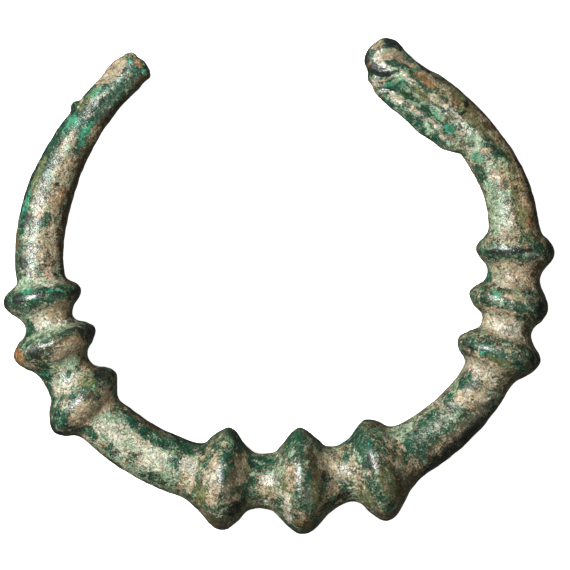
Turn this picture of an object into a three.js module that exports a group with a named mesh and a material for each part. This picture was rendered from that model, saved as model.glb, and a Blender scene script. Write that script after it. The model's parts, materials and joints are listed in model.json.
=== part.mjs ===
// A cast bronze neck ring (torc) lying on a table: one solid round bar bent into an open ring.
// Three groups of three moulded collars stand on it. One end is broken off blunt. The other
// ends in a rounded knob that turns outwards, behind it a shallow waist, and along its inner
// flank runs a ledge with a leaf-shaped hollow.
//
// Frame: millimetres, +Z up, the ring lying in XY with its gap towards +Y. The origin is on the
// table, under the middle of the ring's outline.
//
// The bar is first turned as a straight lathe shape along Y, where one unit of Y is one degree
// of the finished ring. Its surface is then worked from a few named features, and at last each
// point is bent round to its place. Angles along the ring are degrees about its centre, from
// +X towards +Y: -90 is the middle of the ring, and the gap lies between the knob at +65 and
// the broken end at -235. Angles round the bar are degrees from the ring's outer side, with 90
// on top and 180 towards the ring's centre.
import * as THREE from "three";
import { mergeVertices } from "three/addons/utils/BufferGeometryUtils.js";

// ---- driving dimensions -------------------------------------------------------------------

const SIDES = 24; // flats round the bar
const ROD_STEP = 2.3; // degrees between sections on the plain bar
const END_STEP = 1.1; // degrees between sections at the two ends
const CLOSEST = 0.45; // sections nearer than this, in degrees, are merged

const BROKEN_END = -235.2; // where the bar stops
const BROKEN_LEAN = 7; // how far the broken face leans
const KNOB_WAIST = 60;
const KNOB_TIP = 65.5;
const MM_PER_DEGREE = (66 * Math.PI) / 180; // along the middle of the bar

// The bar's middle line, as [angle, distance from the ring's centre].
const BEND = [
  [-236, 66.9], [-215, 66.0], [-182, 67.1], [-163, 66.6], [-150, 67.4],
  [-132, 66.4], [-114, 64.5], [-95, 62.6], [-75, 62.9], [-50, 65.7],
  [-32, 67.0], [-16, 66.5], [-5, 65.9], [16, 66.5], [32, 64.5],
  [44, 62.8], [52, 61.9], [57, 61.6], [60, 61.9], [65.5, 66.8],
];

// The bar's radius between the collars, as [angle, radius]. It tapers towards both ends.
const THICKNESS = [
  [-236, 4.7], [-224, 5.0], [-216, 5.2], [-210, 5.7], [-195, 6.7],
  [-180, 6.8], [-150, 7.2], [-120, 7.8], [-95, 7.6], [-75, 8.1], [-50, 7.7],
  [-32, 7.1], [-16, 7.1], [-5, 7.5], [14, 6.8], [32, 6.3], [46, 6.2],
  [52, 6.6], [56, 6.8], [58.5, 6.5], [60, 6.2],
];

// The nine collars. at: angle of the crest. rise: height over the bar. before, after: length
// of each flank in mm. lean: degrees that the crest is turned, as seen from above.
// shift: how much more it stands out on the ring's outer side than the mean.
const COLLARS = [
  { at: -170.7, rise: 4.1, before: 5.9, after: 7.3, lean: 2, shift: 0.4 },
  { at: -159.1, rise: 5.0, before: 6.3, after: 8.6, lean: -1, shift: 0.4 },
  { at: -143.7, rise: 4.7, before: 8.7, after: 7.3, lean: 8, shift: 0.5 },
  { at: -104.1, rise: 6.8, before: 10.8, after: 9.9, lean: 9, shift: 0.2 },
  { at: -84.1, rise: 7.1, before: 10.7, after: 11.0, lean: -3, shift: 0.1 },
  { at: -64.6, rise: 6.5, before: 9.5, after: 10.5, lean: -11, shift: 1.4 },
  { at: -23.2, rise: 4.9, before: 8.7, after: 7.4, lean: 7, shift: 0.0 },
  { at: -11.0, rise: 3.9, before: 7.5, after: 7.7, lean: -1, shift: -0.8 },
  { at: 1.8, rise: 3.6, before: 7.3, after: 7.7, lean: -5, shift: 0.1 },
];
const FLANK_STEPS = [0, 0.14, 0.3, 0.5, 0.72, 1]; // sections down each flank
const BELL_POWER = 3; // how full a collar's bell profile is
const LEAN_REACH = 0.8; // how far over its flanks a collar's lean is felt
const LEAN_FADE = 0.03; // how soon it dies away beyond them

// The knob's outline: its radius at each part of the way from its waist to its tip.
const KNOB = [
  [0.15, 6.0], [0.3, 5.9], [0.46, 5.7], [0.62, 5.3], [0.76, 4.7], [0.88, 3.6], [0.96, 2.1],
];
const KNOB_TURN = { from: 42, lean: -40 }; // the bar's end turns outwards to the knob

// A drop of metal left on the outer side of the thin arm.
const NUB = { at: -216.6, round: -14, reach: 2.1, rise: 1.3 };

// A flake lost from the outer edge of the broken end.
const CHIP = { from: -233, to: -223, round: 40, width: 45, depth: 0.5 };

// The ledge along the inner flank of the knobbed end, as [angle, how far it stands out].
const LEDGE = [
  [29.8, 0], [31, 1.2], [34, 3.2], [37, 3.6], [41, 4.3], [46, 4.0], [52, 3.5], [55, 2.9], [58, 1.0],
  [60.5, 0],
];
const LEDGE_FACE = { round: 186, width: 62 };

// The leaf-shaped hollow on the ledge. Its upper side is the steeper.
const HOLLOW = { from: 33, to: 60, round: 146, above: 17, below: 32, depth: 1.5 };

// It lies on the crests of the first, the middle and the last collar, worn flat underneath.
const FEET = [
  { collar: 0, wear: 0.65 },
  { collar: 4, wear: 0.8 },
  { collar: 8, wear: 0.65 },
];

// ---- helpers ------------------------------------------------------------------------------

const rad = THREE.MathUtils.degToRad;
const { smoothstep, lerp } = THREE.MathUtils;

// A smooth curve through [position, value] pairs, level beyond its two ends.
function along(pairs, position) {
  const last = pairs.length - 1;
  if (position <= pairs[0][0]) return pairs[0][1];
  if (position >= pairs[last][0]) return pairs[last][1];
  const slope = (j) => {
    const a = pairs[Math.max(j - 1, 0)];
    const b = pairs[Math.min(j + 1, last)];
    return (b[1] - a[1]) / (b[0] - a[0]);
  };
  const i = pairs.findIndex((pair) => pair[0] > position) - 1;
  const [x0, y0] = pairs[i];
  const [x1, y1] = pairs[i + 1];
  const span = x1 - x0;
  const t = (position - x0) / span;
  const s = 1 - t;
  const ends = y0 * s * s * (1 + 2 * t) + y1 * t * t * (1 + 2 * s);
  return ends + span * t * s * (slope(i) * s - slope(i + 1) * t);
}

// 1 at the middle, falling smoothly to 0 at a distance of 1.
function bell(distance, power = 1) {
  return Math.max(0, 1 - distance * distance) ** power;
}

// The difference between two angles round the bar, from -180 to 180.
function turnBetween(a, b) {
  return ((((a - b + 180) % 360) + 360) % 360) - 180;
}

// ---- the bar ------------------------------------------------------------------------------

// Where a section lies on a collar: 0 at the crest, -1 and 1 at the feet of its flanks.
function placeOn(collar, angle) {
  const distance = (angle - collar.at) * MM_PER_DEGREE;
  return distance / (distance < 0 ? collar.before : collar.after);
}

function barRadius(angle) {
  return COLLARS.reduce(
    (sum, collar) => sum + collar.rise * bell(placeOn(collar, angle), BELL_POWER),
    along(THICKNESS, angle),
  );
}

// How many degrees a section is turned, as seen from above: it follows the nearest collars.
function leanAt(angle) {
  let weights = LEAN_FADE;
  let total = 0;
  for (const collar of COLLARS) {
    const weight = Math.exp(-((placeOn(collar, angle) / LEAN_REACH) ** 2));
    weights += weight;
    total += weight * collar.lean;
  }
  const knob = KNOB_TURN.lean * smoothstep(angle, KNOB_TURN.from, KNOB_WAIST);
  const broken = BROKEN_LEAN * (1 - smoothstep(angle, BROKEN_END, BROKEN_END + 8));
  return total / weights + knob + broken;
}

// The angles of the bar's sections: close on the collars and at the ends, wide between.
function sectionAngles() {
  const angles = [];
  for (const { at, before, after } of COLLARS)
    for (const step of FLANK_STEPS)
      angles.push(
        at - (step * before) / MM_PER_DEGREE,
        at + (step * after) / MM_PER_DEGREE,
      );
  const plain = (angle) =>
    COLLARS.every((collar) => Math.abs(placeOn(collar, angle)) > 1.1);
  const fine = LEDGE[0][0] - 1;
  for (let angle = BROKEN_END + 2.2; angle < fine; angle += ROD_STEP)
    if (plain(angle)) angles.push(angle);
  for (let angle = fine; angle < KNOB_WAIST; angle += END_STEP)
    angles.push(angle);
  for (const step of [-1.8, -0.9, 0, 0.9, 1.8])
    angles.push(NUB.at + step);
  angles.sort((a, b) => a - b);
  return angles.filter((angle, i) => i === 0 || angle - angles[i - 1] > CLOSEST);
}

// The straight bar as a lathe shape along Y, one unit of Y to a degree of the ring.
function turnedBar() {
  const broken = along(THICKNESS, BROKEN_END);
  const profile = [
    new THREE.Vector2(0, BROKEN_END + 0.3),
    new THREE.Vector2(broken * 0.5, BROKEN_END + 0.05),
    new THREE.Vector2(broken * 0.78, BROKEN_END + 0.2),
    new THREE.Vector2(broken * 0.93, BROKEN_END + 0.7),
    new THREE.Vector2(broken, BROKEN_END + 1.5),
    ...sectionAngles().map((angle) => new THREE.Vector2(barRadius(angle), angle)),
    ...KNOB.map(([way, r]) => new THREE.Vector2(r, lerp(KNOB_WAIST, KNOB_TIP, way))),
    new THREE.Vector2(0, KNOB_TIP),
  ];
  return new THREE.LatheGeometry(profile, SIDES);
}

// ---- worked features: how far each moves the surface out of the bar ------------------------

function collarShift(angle, round) {
  return COLLARS.reduce(
    (sum, collar) =>
      sum + collar.shift * bell(placeOn(collar, angle), BELL_POWER) * Math.cos(rad(round)),
    0,
  );
}

function nub(angle, round) {
  const alongBar = (angle - NUB.at) * MM_PER_DEGREE;
  const roundBar = rad(turnBetween(round, NUB.round)) * barRadius(angle);
  return NUB.rise * bell(Math.hypot(alongBar, roundBar) / NUB.reach, 0.7);
}

function chip(angle, round) {
  const middle = (CHIP.from + CHIP.to) / 2;
  const length = bell((2 * (angle - middle)) / (CHIP.to - CHIP.from));
  return -CHIP.depth * length * bell(turnBetween(round, CHIP.round) / CHIP.width);
}

function ledge(angle, round) {
  return (
    along(LEDGE, angle) * bell(turnBetween(round, LEDGE_FACE.round) / LEDGE_FACE.width, 2)
  );
}

function hollow(angle, round) {
  const middle = (HOLLOW.from + HOLLOW.to) / 2;
  const length = bell((2 * (angle - middle)) / (HOLLOW.to - HOLLOW.from));
  const turn = turnBetween(round, HOLLOW.round);
  const across = bell(turn / (turn < 0 ? HOLLOW.above : HOLLOW.below));
  return -HOLLOW.depth * Math.sqrt(length) * across;
}

const FEATURES = [collarShift, nub, chip, ledge, hollow];

// ---- bending ------------------------------------------------------------------------------

// The point of the bar's middle line at an angle, with its height over the table as z.
function middleAt(angle, height) {
  const distance = along(BEND, angle);
  const turned = rad(angle);
  return new THREE.Vector3(
    distance * Math.cos(turned),
    distance * Math.sin(turned),
    height,
  );
}

// The plane that holds the bar's middle line, set by the collars that the ring lies on.
function restPlane() {
  const points = FEET.map(({ collar, wear }) => {
    const { at } = COLLARS[collar];
    return middleAt(at, barRadius(at) - wear);
  });
  return new THREE.Plane().setFromCoplanarPoints(...points);
}

// Moves a point of the straight bar to its place on the ring.
function bend(point, rest) {
  const angle = point.y;
  const round = THREE.MathUtils.radToDeg(Math.atan2(point.z, point.x));
  const relief = FEATURES.reduce((sum, feature) => sum + feature(angle, round), 0);
  const swell = 1 + relief / barRadius(angle);
  const lean = rad(leanAt(angle));
  const middle = along(BEND, angle);
  const distance = middle + point.x * swell * Math.cos(lean);
  const turned = rad(angle) + (point.x * swell * Math.sin(lean)) / middle;
  const x = distance * Math.cos(turned);
  const y = distance * Math.sin(turned);
  const { normal, constant } = rest;
  const height = -(normal.x * x + normal.y * y + constant) / normal.z;
  return point.set(x, y, Math.max(0, height + point.z * swell));
}

function torcGeometry() {
  const turned = turnedBar();
  turned.deleteAttribute("normal");
  turned.deleteAttribute("uv");
  const geometry = mergeVertices(turned, 1e-4);
  const position = geometry.getAttribute("position");
  const rest = restPlane();
  const point = new THREE.Vector3();
  for (let i = 0; i < position.count; i += 1)
    position.setXYZ(i, ...bend(point.fromBufferAttribute(position, i), rest));
  geometry.computeBoundingBox();
  const middle = geometry.boundingBox.getCenter(new THREE.Vector3());
  return geometry.translate(-middle.x, -middle.y, 0);
}

// ---- the part -----------------------------------------------------------------------------

const bronze = new THREE.MeshStandardMaterial({
  name: "patinated bronze",
  color: 0x5f7a62,
  roughness: 0.55,
  metalness: 0.35,
});

const torc = new THREE.Mesh(torcGeometry(), bronze);
torc.name = "torc";

const group = new THREE.Group();
group.add(torc);

export default group;
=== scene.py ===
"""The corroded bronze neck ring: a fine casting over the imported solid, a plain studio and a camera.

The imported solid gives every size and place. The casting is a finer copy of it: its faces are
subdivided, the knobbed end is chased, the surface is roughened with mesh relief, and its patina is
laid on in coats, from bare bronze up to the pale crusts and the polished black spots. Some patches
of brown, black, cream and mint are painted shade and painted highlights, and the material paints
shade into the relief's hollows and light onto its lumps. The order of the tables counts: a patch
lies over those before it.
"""

import json
import logging
import math
from dataclasses import dataclass
from dataclasses import field
from enum import Enum

import bpy
import numpy as np
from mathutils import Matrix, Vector

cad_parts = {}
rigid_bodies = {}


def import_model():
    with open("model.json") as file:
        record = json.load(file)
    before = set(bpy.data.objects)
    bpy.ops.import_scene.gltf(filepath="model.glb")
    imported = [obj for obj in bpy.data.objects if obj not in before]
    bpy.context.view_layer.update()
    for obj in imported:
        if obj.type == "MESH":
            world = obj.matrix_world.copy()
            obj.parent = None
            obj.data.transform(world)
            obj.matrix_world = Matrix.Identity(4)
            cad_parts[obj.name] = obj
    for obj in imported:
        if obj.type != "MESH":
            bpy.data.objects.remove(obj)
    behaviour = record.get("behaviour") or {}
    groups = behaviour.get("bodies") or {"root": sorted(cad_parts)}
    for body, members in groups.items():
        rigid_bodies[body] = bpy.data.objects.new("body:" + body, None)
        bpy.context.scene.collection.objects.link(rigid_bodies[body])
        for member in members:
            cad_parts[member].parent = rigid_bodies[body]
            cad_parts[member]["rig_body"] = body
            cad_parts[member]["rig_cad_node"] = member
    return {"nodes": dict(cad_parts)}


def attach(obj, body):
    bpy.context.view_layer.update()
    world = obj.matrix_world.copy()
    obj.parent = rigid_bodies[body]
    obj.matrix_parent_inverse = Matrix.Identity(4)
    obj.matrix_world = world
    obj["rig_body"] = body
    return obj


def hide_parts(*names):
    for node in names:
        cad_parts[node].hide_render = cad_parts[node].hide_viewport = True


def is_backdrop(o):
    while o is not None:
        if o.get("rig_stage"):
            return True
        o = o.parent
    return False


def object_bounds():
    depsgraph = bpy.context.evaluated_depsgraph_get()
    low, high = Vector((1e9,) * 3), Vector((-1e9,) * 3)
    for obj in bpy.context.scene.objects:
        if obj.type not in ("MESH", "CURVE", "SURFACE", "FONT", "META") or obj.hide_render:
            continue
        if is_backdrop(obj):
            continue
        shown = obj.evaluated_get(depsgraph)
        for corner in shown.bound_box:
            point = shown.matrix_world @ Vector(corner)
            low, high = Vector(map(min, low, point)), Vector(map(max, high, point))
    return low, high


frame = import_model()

LOG = logging.getLogger("neck_ring")
MM = 0.001  # one millimetre, in metres
EXPOSURE = "exposure"
POLISH = "polish"
SHARES = "shares"
MIDDLE = 0.5  # halfway through a pattern or a step

Places = np.ndarray
Amounts = np.ndarray
Pair = tuple[float, float]
Socket = bpy.types.NodeSocket
Source = Socket | float | tuple[float, ...]


# ---- Small helpers ----


def linear(code: str) -> tuple[float, float, float, float]:
    """Turns a display colour into the linear colour that shaders take.

    Args:
        code: The colour as six hexadecimal digits.

    Returns:
        Red, green, blue and an opacity of one.
    """
    parts = [int(code[i:i + 2], 16) / 255 for i in (0, 2, 4)]
    red, green, blue = (c / 12.92 if c <= 0.04045 else ((c + 0.055) / 1.055) ** 2.4 for c in parts)
    return red, green, blue, 1.0


def smooth_step(low: float, high: float, amount: Amounts) -> Amounts:
    """Eases from 0 at low to 1 at high.

    Args:
        low: Where the rise starts.
        high: Where it ends; it may be below low, and the step then falls.
        amount: The values to ease.

    Returns:
        The eased values, from 0 to 1.
    """
    t = np.clip((amount - low) / (high - low), 0.0, 1.0)
    return t * t * (3 - 2 * t)


def oval(
    ahead: Amounts, aside: Amounts, length: float, width: float, slant: float, rim: Pair
) -> Amounts:
    """Works out how fully an oval patch covers each vertex.

    Args:
        ahead: How far each vertex lies ahead of the patch's middle, in metres.
        aside: How far it lies to the side of it, in metres.
        length: How long the patch is, in millimetres.
        width: How wide it is, in millimetres.
        slant: How far its length leans from the line ahead, in degrees.
        rim: Where its cover starts and where it is full, by the square of its half size.

    Returns:
        The cover, from 0 to 1.
    """
    lean = math.radians(slant)
    along = ahead * math.cos(lean) + aside * math.sin(lean)
    across = aside * math.cos(lean) - ahead * math.sin(lean)
    spread = (along / (length * MM / 2)) ** 2 + (across / (width * MM / 2)) ** 2
    return smooth_step(*rim, spread)


def take_up(piece: bpy.types.Object) -> None:
    """Selects one object alone and makes it the active one.

    Args:
        piece: The object.
    """
    bpy.ops.object.select_all(action="DESELECT")
    piece.select_set(True)
    bpy.context.view_layer.objects.active = piece


def rows_of(vectors: bpy.types.bpy_prop_collection, key: str) -> Places:
    """Reads a list of vectors out of a mesh.

    Args:
        vectors: What holds them, such as the mesh's vertices.
        key: The name of the vector that each one holds.

    Returns:
        The vectors, one row each.
    """
    flat = np.empty(len(vectors) * 3, np.float32)
    vectors.foreach_get(key, flat)
    return flat.reshape(-1, 3).astype(float)


def vertex_places(piece: bpy.types.Object) -> Places:
    """Returns the mesh's vertex places, one row each."""
    return rows_of(piece.data.vertices, "co")


def vertex_normals(piece: bpy.types.Object) -> Places:
    """Returns the mesh's vertex normals, one row each."""
    return rows_of(piece.data.vertex_normals, "vector")


def put_vertices(piece: bpy.types.Object, places: Places) -> None:
    """Writes new vertex places to the mesh."""
    piece.data.vertices.foreach_set("co", places.astype(np.float32).ravel())
    piece.data.update()


# ---- Where things lie on the ring ----


@dataclass
class BarSurvey:
    """Where each vertex lies along the ring and round its bar.

    Attributes:
        places: The vertex places.
        gap_side: The angle, in degrees, that splits the ring inside its gap.
        easing: How many degrees the bar's middle line is averaged over.
        centre: The middle of the ring.
        angle: Degrees round the ring from +X, falling from the knobbed end to the broken one.
        turn: Degrees round the bar: 0 faces out of the ring, 90 up and 180 towards its middle.
        radius: How far the bar's middle line is from the middle of the ring.
        reach: How far the surface is from the bar's middle line.
    """

    places: Places
    gap_side: float = 90.0
    easing: int = 7
    centre: Places = field(init=False)
    angle: Amounts = field(init=False)
    turn: Amounts = field(init=False)
    radius: Amounts = field(init=False)
    reach: Amounts = field(init=False)

    def __post_init__(self) -> None:
        """Measures everything from the places."""
        self.centre = self._ring_centre()
        offset = self.places[:, :2] - self.centre
        out = np.hypot(offset[:, 0], offset[:, 1])
        angle = np.degrees(np.arctan2(offset[:, 1], offset[:, 0]))
        self.angle = np.where(angle > self.gap_side, angle - 360, angle)
        self.radius = self._middle(out)
        height = self._middle(self.places[:, 2])
        sideways = out - self.radius
        upwards = self.places[:, 2] - height
        self.turn = np.degrees(np.arctan2(upwards, sideways)) % 360
        self.reach = np.hypot(sideways, upwards)

    def _ring_centre(self) -> Places:
        """Fits a circle to the whole ring.

        Returns:
            The circle's middle.
        """
        x, y = self.places[:, 0], self.places[:, 1]
        rows = np.column_stack((2 * x, 2 * y, np.ones_like(x)))
        found = np.linalg.lstsq(rows, x * x + y * y, rcond=None)[0]
        return found[:2]

    def _middle(self, amount: Amounts) -> Amounts:
        """Follows the middle of a measure along the ring.

        Args:
            amount: The measure at each vertex.

        Returns:
            Halfway between its least and its most at that place on the ring, eased.
        """
        degree = np.floor(self.angle).astype(int)
        first = degree.min()
        count = degree.max() - first + 1
        least = np.full(count, np.inf)
        most = np.full(count, -np.inf)
        np.minimum.at(least, degree - first, amount)
        np.maximum.at(most, degree - first, amount)
        stations = np.arange(count)
        met = np.isfinite(least)
        middle = np.interp(stations, stations[met], (least[met] + most[met]) / 2)
        padded = np.pad(middle, self.easing // 2, mode="edge")
        eased = np.convolve(padded, np.ones(self.easing) / self.easing, mode="valid")
        return np.interp(self.angle, stations + first + MIDDLE, eased)


# ---- The patina: what grows on the bronze, with some painted shade and highlights, and where ----


class Coat(Enum):
    """The coats of the patina, from the deepest to the topmost; in places the brown and black paint
    shade and the cream and mint paint highlights.
    """

    BROWN = "brown_bronze_and_painted_shade"
    RUST = "orange_brown_bronze"
    GREEN = "dark_green_malachite"
    OLIVE = "olive_green_wax"
    TAN = "tan_earth"
    MINT = "pale_green_crust_and_painted_highlight"
    CREAM = "bone_pale_crust_and_painted_highlight"
    VIVID = "vivid_green"
    BLACK = "polished_black_and_painted_shade"


BROWN, RUST, GREEN, OLIVE, TAN, MINT, CREAM, VIVID, BLACK = Coat


@dataclass(frozen=True)
class CoatFinish:
    """How one coat looks where it lies.

    Attributes:
        coat: Which coat it is.
        deep: Its darker colour.
        pale: Its paler colour.
        blotch: The size of its patches, in millimetres.
        mottle: The size of its light and dark spots, in millimetres.
        fray: How far the patches stray from where the coat tends to lie.
        edge: How soft the rim of a patch is.
        roughness: How matt it is.
        lift: How far it stands proud, in millimetres.
        hiding: How fully it hides what lies under it, from 0 to 1.
        grit: How much of the fine relief shows on it: little where it is polished.
    """

    coat: Coat
    deep: str
    pale: str
    blotch: float
    mottle: float
    fray: float
    edge: float
    roughness: float
    lift: float
    hiding: float
    grit: float


FINISHES = (
    CoatFinish(BROWN, "2e2416", "776445", 3.4, 0.8, 1.3, 0.24, 0.42, 0.00, 0.88, 0.6),
    CoatFinish(RUST, "66401e", "b9814c", 2.4, 0.7, 1.2, 0.26, 0.50, 0.02, 0.80, 0.8),
    CoatFinish(GREEN, "042318", "1b5a42", 2.6, 0.9, 1.5, 0.18, 0.34, 0.02, 0.96, 0.6),
    CoatFinish(OLIVE, "3a4222", "8f9060", 2.6, 0.8, 1.3, 0.24, 0.42, 0.02, 0.82, 0.7),
    CoatFinish(TAN, "766449", "d8c3a4", 2.8, 0.6, 1.6, 0.20, 0.60, 0.06, 0.90, 1.1),
    CoatFinish(MINT, "5f8669", "bccbab", 2.4, 0.5, 1.8, 0.22, 0.58, 0.06, 0.85, 1.2),
    CoatFinish(CREAM, "aaa08a", "dbd5c5", 1.6, 0.5, 1.8, 0.20, 0.60, 0.05, 0.82, 1.2),
    CoatFinish(VIVID, "06593f", "46b892", 1.4, 0.6, 1.7, 0.24, 0.48, 0.03, 0.82, 0.8),
    CoatFinish(BLACK, "040605", "1e2923", 2.2, 0.8, 1.3, 0.30, 0.24, -0.02, 0.90, 0.2),
)


@dataclass(frozen=True)
class Tendency:
    """How surely one coat lies on a part of the bar before any stain is laid.

    Attributes:
        coat: Which coat it is.
        plain: How surely it lies anywhere.
        top: What is added where the surface faces up.
        flank: What is added on the bar's flanks; the brown added there is partly painted shade.
        crest: What is added on the collars' crests.
        under: What is added where the surface faces away from above.
    """

    coat: Coat
    plain: float = 0.0
    top: float = 0.0
    flank: float = 0.0
    crest: float = 0.0
    under: float = 0.0


TENDENCIES = (
    # The brown that the flanks add is partly patina and partly painted shade on the bar's sides.
    Tendency(BROWN, plain=0.25, flank=0.50, crest=0.10),
    Tendency(RUST, plain=0.10, flank=0.05),
    Tendency(GREEN, plain=0.45, flank=-0.10, crest=0.10),
    Tendency(OLIVE, plain=0.18, flank=0.14),
    Tendency(TAN, top=0.43, crest=-0.12, under=0.12),
    Tendency(MINT, top=0.38, crest=-0.16, under=0.06),
    Tendency(CREAM, top=0.22, crest=-0.06),
    Tendency(VIVID, plain=0.14, top=0.04),
    Tendency(BLACK, plain=0.12, crest=0.10),
)


@dataclass(frozen=True)
class Stain:
    """A patch where one coat gathers, or where handling polished the surface; some dark patches are
    painted shade.

    Attributes:
        coat: Which coat gathers there; none where the surface is only polished.
        angle: Where it lies on the ring, in degrees.
        turn: Where it lies round the bar, in degrees.
        length: How far it runs along the bar, in millimetres.
        width: How far it runs round the bar, in millimetres.
        amount: How surely the coat lies there, or how bright the polish is, from 0 to about 1.
        slant: How far it leans from the bar's line, in degrees.
        rim: Where its cover starts and where it is full, by the square of its half size.
    """

    coat: Coat | None
    angle: float
    turn: float
    length: float
    width: float
    amount: float
    slant: float = 0.0
    rim: Pair = (1.5, 0.35)

    def cover(self, survey: BarSurvey) -> Amounts:
        """Works out how fully the patch covers each vertex.

        Args:
            survey: Where each vertex lies on the ring.

        Returns:
            The cover, from 0 to 1.
        """
        ahead = np.radians(survey.angle - self.angle) * survey.radius
        aside = (survey.turn - self.turn + 180) % 360 - 180
        across = np.radians(aside) * survey.reach
        return oval(ahead, across, self.length, self.width, self.slant, self.rim)


LEFT_ARM_STAINS = (
    Stain(GREEN, -222, 90, 34, 14, 0.95),
    Stain(OLIVE, -221, 48, 12, 4, 0.6),
    Stain(MINT, -225, 98, 15, 6, 0.3),
    Stain(CREAM, -219, 88, 14, 4, 0.22),
    Stain(BLACK, -232, 72, 3, 3, 0.7),
    Stain(VIVID, -233, 55, 3, 3, 0.55),
    Stain(TAN, -229, 28, 12, 7, 1.0),
    Stain(CREAM, -226, 25, 4, 3, 0.75),
    Stain(RUST, -235, 80, 1.6, 3, 0.95),
    Stain(BROWN, -233, 170, 8, 9, 0.9),
    Stain(VIVID, -235, 118, 1.5, 2.5, 0.9),
    Stain(GREEN, -208, 60, 22, 9, 0.85),
    Stain(GREEN, -208, 108, 14, 5, 0.8),
    Stain(VIVID, -214, 48, 6, 5, 0.85),
    Stain(VIVID, -223, 52, 5, 3, 0.6),
    Stain(VIVID, -214, 114, 9, 3.6, 0.72),
    Stain(TAN, -209, 82, 9, 4, 0.66),
    Stain(MINT, -206, 84, 16, 4, 0.5),
    # Partly painted shade: the black along the arm's outer edge and the dark brown along its inner
    # flank.
    Stain(BLACK, -209, 24, 20, 4.4, 0.95),
    Stain(BROWN, -213, 150, 40, 6, 0.72),
    Stain(BROWN, -200, 165, 60, 9, 0.72),
    Stain(TAN, -201, 112, 18, 7, 0.72),
    Stain(TAN, -215, 140, 7, 4, 0.7),
    Stain(BLACK, -201, 64, 52, 4.2, 0.33),
    Stain(BLACK, -222, 84, 14, 4, 0.38),
    Stain(BLACK, -199, 103, 1.6, 1.6, 0.8),
    Stain(RUST, -196, 118, 7, 5, 0.62),
    Stain(TAN, -192, 100, 14, 7, 0.66),
    Stain(GREEN, -195, 22, 50, 7, 0.95),
    # Partly painted shade: black along the arm's outer edge.
    Stain(BLACK, -197, 8, 50, 4, 0.62),
    Stain(OLIVE, -200, 41, 13, 2.8, 0.66),
    Stain(VIVID, -192, 38, 9, 3, 0.72),
    Stain(BLACK, -189, 42, 5, 3, 0.8),
    Stain(GREEN, -188, 100, 8, 4, 0.56),
    Stain(MINT, -184, 80, 16, 4, 0.52),
    Stain(BLACK, -183, 58, 16, 3.4, 0.38),
    Stain(TAN, -182, 115, 16, 7, 0.74),
    Stain(RUST, -180, 118, 4, 4, 0.4),
    Stain(MINT, -178, 140, 3, 3, 0.7),
    Stain(BLACK, -180, 48, 5, 3, 0.72),
    Stain(BROWN, -184, 20, 14, 4, 0.8),
    Stain(MINT, -174.5, 55, 3.5, 9, 0.85),
    Stain(CREAM, -174.5, 102, 3, 7, 0.7),
)

LEFT_COLLAR_STAINS = (
    Stain(GREEN, -171.5, 85, 4.6, 26, 0.86),
    Stain(BLACK, -171.8, 92, 2.0, 9, 0.52),
    Stain(VIVID, -173, 68, 1.6, 5, 0.65),
    Stain(VIVID, -172, 112, 1.8, 5, 0.62),
    Stain(BLACK, -171.5, 54, 3, 5, 0.8),
    Stain(BLACK, -171.5, 112, 1.8, 3, 0.85),
    Stain(BLACK, -170.5, 170, 5, 12, 0.8),
    Stain(BLACK, -170.5, 10, 5, 9, 0.7),
    Stain(MINT, -166.5, 60, 5, 7, 0.75),
    Stain(CREAM, -165.5, 95, 7, 13, 0.98),
    Stain(BROWN, -166, 152, 8, 8, 0.72),
    Stain(TAN, -167, 122, 6, 9, 0.95),
    Stain(GREEN, -164, 40, 6, 5, 0.95),
    Stain(GREEN, -161.5, 90, 3, 18, 0.62),
    Stain(MINT, -162.5, 85, 3, 14, 0.7),
    Stain(BLACK, -159.5, 150, 6, 16, 0.74),
    Stain(RUST, -158.5, 110, 3, 12, 0.58),
    Stain(TAN, -157, 112, 5, 11, 0.95),
    Stain(RUST, -159.5, 28, 4, 6, 1.0),
    Stain(BLACK, -158.8, 62, 4, 5, 0.85),
    Stain(TAN, -157, 38, 2, 3, 0.8),
    Stain(MINT, -152.5, 95, 7, 12, 0.86),
    Stain(CREAM, -150.5, 76, 7, 10, 0.7),
    Stain(GREEN, -153.8, 52, 5, 5, 1.0),
    Stain(GREEN, -151.5, 82, 3, 5, 0.92),
    Stain(GREEN, -150, 30, 12, 4, 0.8),
    Stain(BROWN, -150, 150, 10, 6, 0.85),
    Stain(TAN, -150.5, 122, 5, 5, 0.6),
    Stain(OLIVE, -147.5, 112, 4, 6, 0.66),
    Stain(GREEN, -145.5, 98, 3, 4, 0.9),
    Stain(BROWN, -143.8, 90, 3, 14, 0.62),
    Stain(BLACK, -146.5, 146, 6, 9, 0.78),
    Stain(GREEN, -144, 40, 5, 9, 0.85),
    Stain(BLACK, -142.5, 12, 5, 8, 0.8),
)

LEFT_ROD_STAINS = (
    Stain(MINT, -126, 85, 34, 12, 0.74),
    Stain(CREAM, -128, 88, 28, 9, 0.64),
    Stain(TAN, -141, 82, 6, 12, 0.92),
    Stain(TAN, -140.5, 130, 7, 7, 0.92),
    Stain(GREEN, -138, 52, 7, 4, 0.8),
    Stain(GREEN, -127, 132, 20, 4.6, 1.0, -6),
    Stain(GREEN, -116, 148, 12, 5.4, 1.0),
    # Painted shade: brown and black along the rod's inner edge, where it lies in shadow.
    Stain(BROWN, -128, 160, 30, 4, 0.75),
    Stain(BLACK, -124, 174, 36, 4, 0.62),
    Stain(GREEN, -131, 55, 5, 4, 0.72),
    Stain(GREEN, -126, 70, 3, 3, 0.72),
    Stain(GREEN, -119.5, 42, 7, 5, 0.74),
    Stain(GREEN, -116.5, 98, 5, 5, 0.82),
    Stain(TAN, -112, 66, 5, 5, 0.75),
    Stain(CREAM, -113.5, 100, 5, 5, 0.72),
    Stain(BROWN, -124, 12, 40, 4, 0.62),
    Stain(MINT, -118, 22, 18, 4, 0.62),
)

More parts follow.
